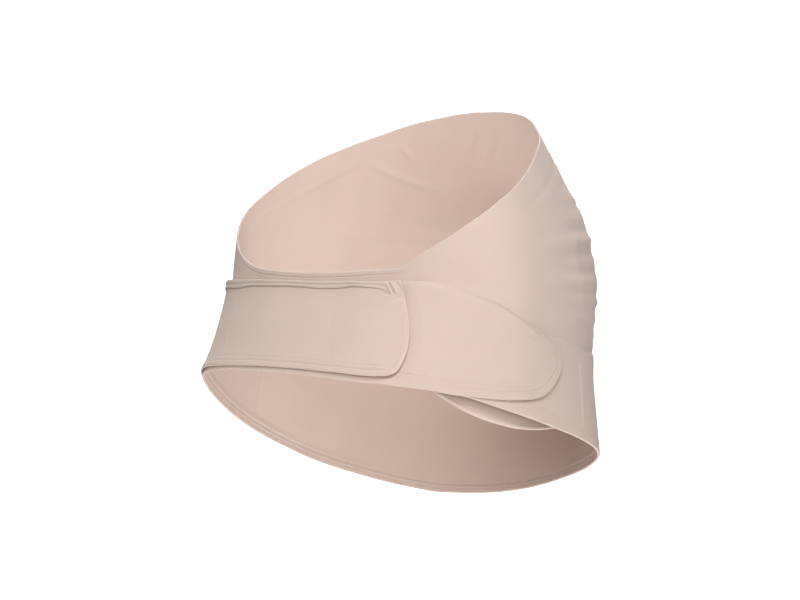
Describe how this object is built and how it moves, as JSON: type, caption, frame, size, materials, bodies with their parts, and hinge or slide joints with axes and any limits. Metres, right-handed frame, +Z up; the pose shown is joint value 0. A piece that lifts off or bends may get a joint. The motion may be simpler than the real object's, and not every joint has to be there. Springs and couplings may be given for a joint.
{
  "type": "maternity support belt",
  "caption": "Over-belly maternity support belt in its worn form: gathered stretch belly panel, under-belly band, wrap-round back band with a rounded tongue and a tightening flap.",
  "frame": {"origin": "middle of the hollow where the wearer's body goes, level with the small of the back", "axes": "+Z up along the wearer, -Y towards the belly, +Y towards the back, -X towards the wearer's right, the closing side"},
  "size_m": [0.3695, 0.3764, 0.3615],
  "materials": {
    "panel_cloth": "matte brushed microfibre knit, nude beige",
    "band_cloth": "matte laminated stretch knit, nude beige",
    "strap_cloth": "matte laminated stretch knit, nude beige",
    "tape": "matte folded binding tape",
    "hook_fabric": "fine hook tape"
  },
  "bodies": {
    "root": {"front_panel": "panel_cloth", "wrap_panel": "panel_cloth", "front_band": "band_cloth", "back_band": "band_cloth", "tightening_flap": "strap_cloth", "flap_binding": "tape", "flap_hook_patch": "hook_fabric", "tongue_hook_patch": "hook_fabric"}
  },
  "joints": []
}
